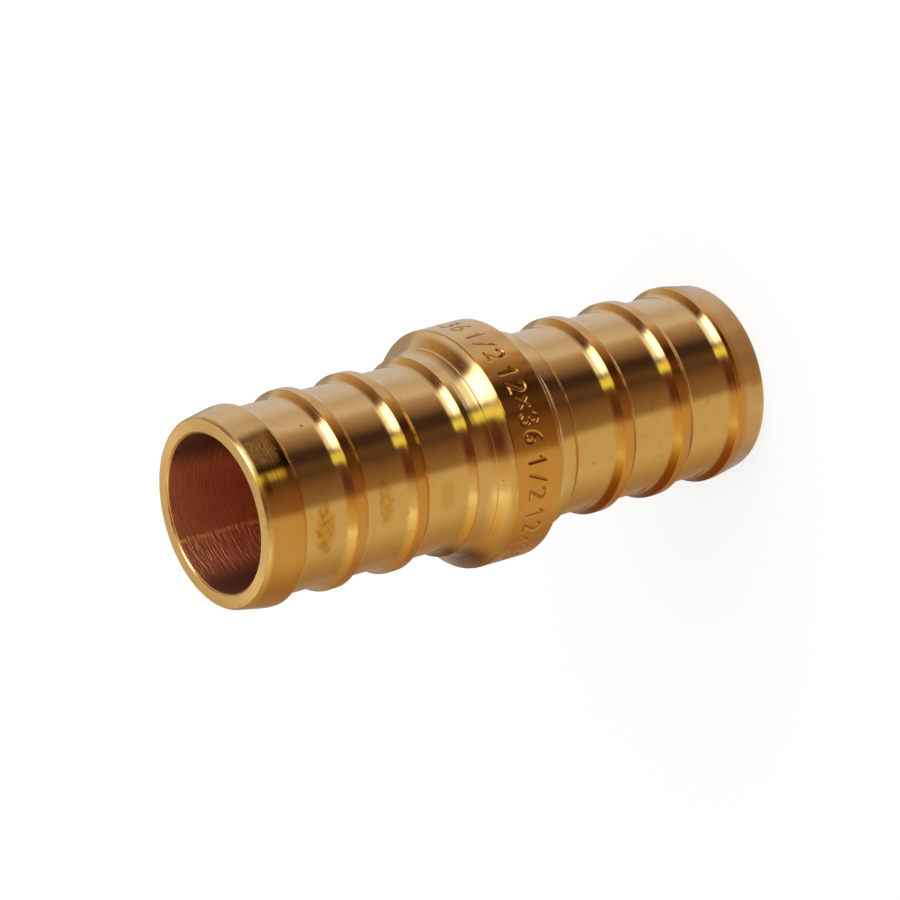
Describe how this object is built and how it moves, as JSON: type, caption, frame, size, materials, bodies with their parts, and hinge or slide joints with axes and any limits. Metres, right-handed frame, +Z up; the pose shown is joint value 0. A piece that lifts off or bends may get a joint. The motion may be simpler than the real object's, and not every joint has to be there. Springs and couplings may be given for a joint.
{
  "type": "pex coupling",
  "caption": "Straight brass insert coupling: a barbed spigot each side of a plain collar joins two plastic tubes, each held by a crimped ring.",
  "frame": {"origin": "centre of the lower end face, on the tube axis", "axes": "+Z up along the tube axis, through both ends; X and Y are any two directions across it"},
  "size_m": [0.0144, 0.0144, 0.0363],
  "materials": {
    "brass": "satin turned brass"
  },
  "bodies": {
    "root": {"coupling_body": "brass"}
  },
  "joints": []
}
